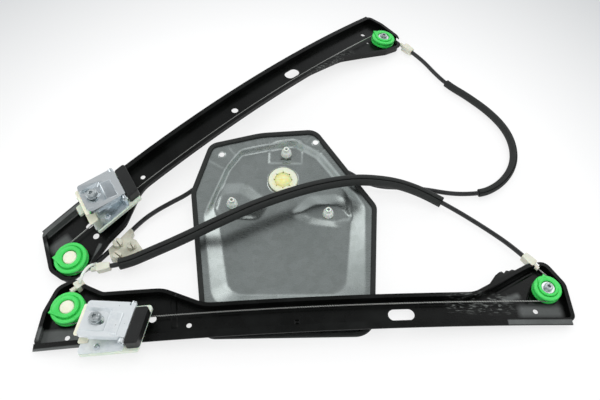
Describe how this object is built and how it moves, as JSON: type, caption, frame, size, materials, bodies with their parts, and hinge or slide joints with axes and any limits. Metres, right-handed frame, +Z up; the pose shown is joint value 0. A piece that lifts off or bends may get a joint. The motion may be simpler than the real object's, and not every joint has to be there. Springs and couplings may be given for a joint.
{
  "type": "window regulator",
  "caption": "Cable window regulator with arched guide rails, glass clamps on slides, rail end wheels, and a drum panel joined by flexible conduits.",
  "frame": {"origin": "the point of the supporting surface below the middle of the rigid pieces, laid flat", "axes": "+Z up, away from the surface; +X to the right along the longest side; +Y away from the viewer"},
  "size_m": [0.5588, 0.505, 0.0547],
  "materials": {
    "rail_paint": "satin black paint",
    "cable_steel": "bright stranded wire",
    "galvanised_sheet": "dull galvanised sheet",
    "seal_rubber": "matt black foam rubber",
    "natural_nylon": "natural nylon",
    "hub_acetal": "pale acetal with grease",
    "green_acetal": "bright green acetal",
    "cream_cap": "cream moulding",
    "zinc_steel": "blue-white zinc plating",
    "black_nylon": "black nylon"
  },
  "bodies": {
    "frame": {"rail_a": "rail_paint", "rail_b": "rail_paint", "wire_a": "cable_steel", "wire_b": "cable_steel", "drive_panel": "galvanised_sheet", "panel_gasket": "seal_rubber", "drum_housing": "natural_nylon", "drum_ferrule_a": "natural_nylon", "drum_ferrule_b": "natural_nylon", "hub_rivet_a": "cream_cap", "hub_rivet_b": "cream_cap", "hub_bolt_a": "zinc_steel", "hub_bolt_b": "zinc_steel", "hub_washer_a": "zinc_steel", "hub_washer_b": "zinc_steel", "end_fitting_a_left": "natural_nylon", "end_fitting_a_right": "natural_nylon", "end_fitting_b_left": "natural_nylon", "end_fitting_b_right": "natural_nylon", "conduit_one": "black_nylon", "conduit_two": "black_nylon", "conduit_three": "black_nylon", "conduit_liner": "natural_nylon", "loop_sleeve": "seal_rubber", "long_sleeve": "seal_rubber", "conduit_clip": "natural_nylon"},
    "slider_a": {"slide_shoe_a": "cream_cap", "wire_nipples_a": "cable_steel", "base_plate_a": "zinc_steel", "base_pad_a": "cream_cap", "base_rivet_a": "zinc_steel", "clamp_nut_a": "zinc_steel", "hinge_pin_a": "zinc_steel", "end_block_a": "black_nylon"},
    "jaw_a": {"jaw_plate_a": "zinc_steel", "jaw_pad_a": "cream_cap"},
    "washer_a": {"clamp_washer_a": "zinc_steel"},
    "screw_a": {"clamp_screw_a": "zinc_steel"},
    "wheel_a_left": {"wheel_a_left": "green_acetal"},
    "wheel_a_right": {"wheel_a_right": "green_acetal"},
    "slider_b": {"slide_shoe_b": "cream_cap", "wire_nipples_b": "cable_steel", "base_plate_b": "zinc_steel", "base_pad_b": "cream_cap", "base_rivet_b": "zinc_steel", "clamp_nut_b": "zinc_steel", "hinge_pin_b": "zinc_steel", "end_block_b": "black_nylon"},
    "jaw_b": {"jaw_plate_b": "zinc_steel", "jaw_pad_b": "cream_cap"},
    "washer_b": {"clamp_washer_b": "zinc_steel"},
    "screw_b": {"clamp_screw_b": "zinc_steel"},
    "wheel_b_left": {"wheel_b_left": "green_acetal"},
    "wheel_b_right": {"wheel_b_right": "green_acetal"},
    "drum": {"cable_drum": "hub_acetal"}
  },
  "joints": [
    {"name": "slider_a_travel", "type": "hinge", "parent": "frame", "child": "slider_a", "pos_m": [-0.06862, 0.03382, -1.2714], "axis": [-0.7043, 0.7099, 0], "range_deg": [0, 14.54]},
    {"name": "jaw_a_tilt", "type": "hinge", "parent": "slider_a", "child": "jaw_a", "pos_m": [-0.19685, -0.06804, 0.04147], "axis": [0.5059, -0.8618, -0.0359], "range_deg": [0, 18]},
    {"name": "washer_a_slide", "type": "slide", "parent": "slider_a", "child": "washer_a", "axis": [0.1018, 0.101, -0.9897], "range_m": [0, 0.0114]},
    {"name": "screw_a_turn", "type": "hinge", "parent": "washer_a", "child": "screw_a", "pos_m": [-0.21853, -0.07967, 0.01517], "axis": [0.1018, 0.101, -0.9897], "continuous": true},
    {"name": "slider_b_travel", "type": "hinge", "parent": "frame", "child": "slider_b", "pos_m": [0.01068, -0.18088, -2.48513], "axis": [-0.0717, 0.9974, 0], "range_deg": [0, 7.6]},
    {"name": "jaw_b_tilt", "type": "hinge", "parent": "slider_b", "child": "jaw_b", "pos_m": [-0.168, -0.22832, 0.03112], "axis": [-0.1795, -0.9835, -0.0207], "range_deg": [0, 18]},
    {"name": "washer_b_slide", "type": "slide", "parent": "slider_b", "child": "washer_b", "axis": [0.0825, 0.0059, -0.9966], "range_m": [0, 0.0114]},
    {"name": "screw_b_turn", "type": "hinge", "parent": "washer_b", "child": "screw_b", "pos_m": [-0.19358, -0.22313, 0.00631], "axis": [0.0825, 0.0059, -0.9966], "continuous": true},
    {"name": "wheel_a_left_spin", "type": "hinge", "parent": "frame", "child": "wheel_a_left", "pos_m": [-0.24152, -0.13911, 0.00539], "axis": [-0.1335, -0.1325, 0.9821], "continuous": true},
    {"name": "wheel_a_right_spin", "type": "hinge", "parent": "frame", "child": "wheel_a_right", "pos_m": [0.10358, 0.20746, 0.00539], "axis": [0.1335, 0.1325, 0.9821], "continuous": true},
    {"name": "wheel_b_left_spin", "type": "hinge", "parent": "frame", "child": "wheel_b_left", "pos_m": [-0.23436, -0.19748, 0.00278], "axis": [-0.098, -0.007, 0.9952], "continuous": true},
    {"name": "wheel_b_right_spin", "type": "hinge", "parent": "frame", "child": "wheel_b_right", "pos_m": [0.25579, -0.16527, 0.00278], "axis": [0.098, 0.007, 0.9952], "continuous": true},
    {"name": "drum_spin", "type": "hinge", "parent": "frame", "child": "drum", "pos_m": [-0.02122, -0.03858, 0.02895], "axis": [0, -0.1305, 0.9914], "continuous": true}
  ],
  "couplings": [
    {"joint": "slider_b_travel", "follows": "slider_a_travel", "ratio": 0.52107},
    {"joint": "wheel_a_left_spin", "follows": "slider_a_travel", "ratio": -79.127},
    {"joint": "wheel_a_right_spin", "follows": "slider_a_travel", "ratio": -96.711},
    {"joint": "wheel_b_left_spin", "follows": "slider_a_travel", "ratio": 79.127},
    {"joint": "wheel_b_right_spin", "follows": "slider_a_travel", "ratio": 96.711},
    {"joint": "drum_spin", "follows": "slider_a_travel", "ratio": 62.171},
    {"joint": "washer_a_slide", "follows": "jaw_a_tilt", "m_per_rad": 0.03613},
    {"joint": "washer_b_slide", "follows": "jaw_b_tilt", "m_per_rad": 0.03613}
  ]
}
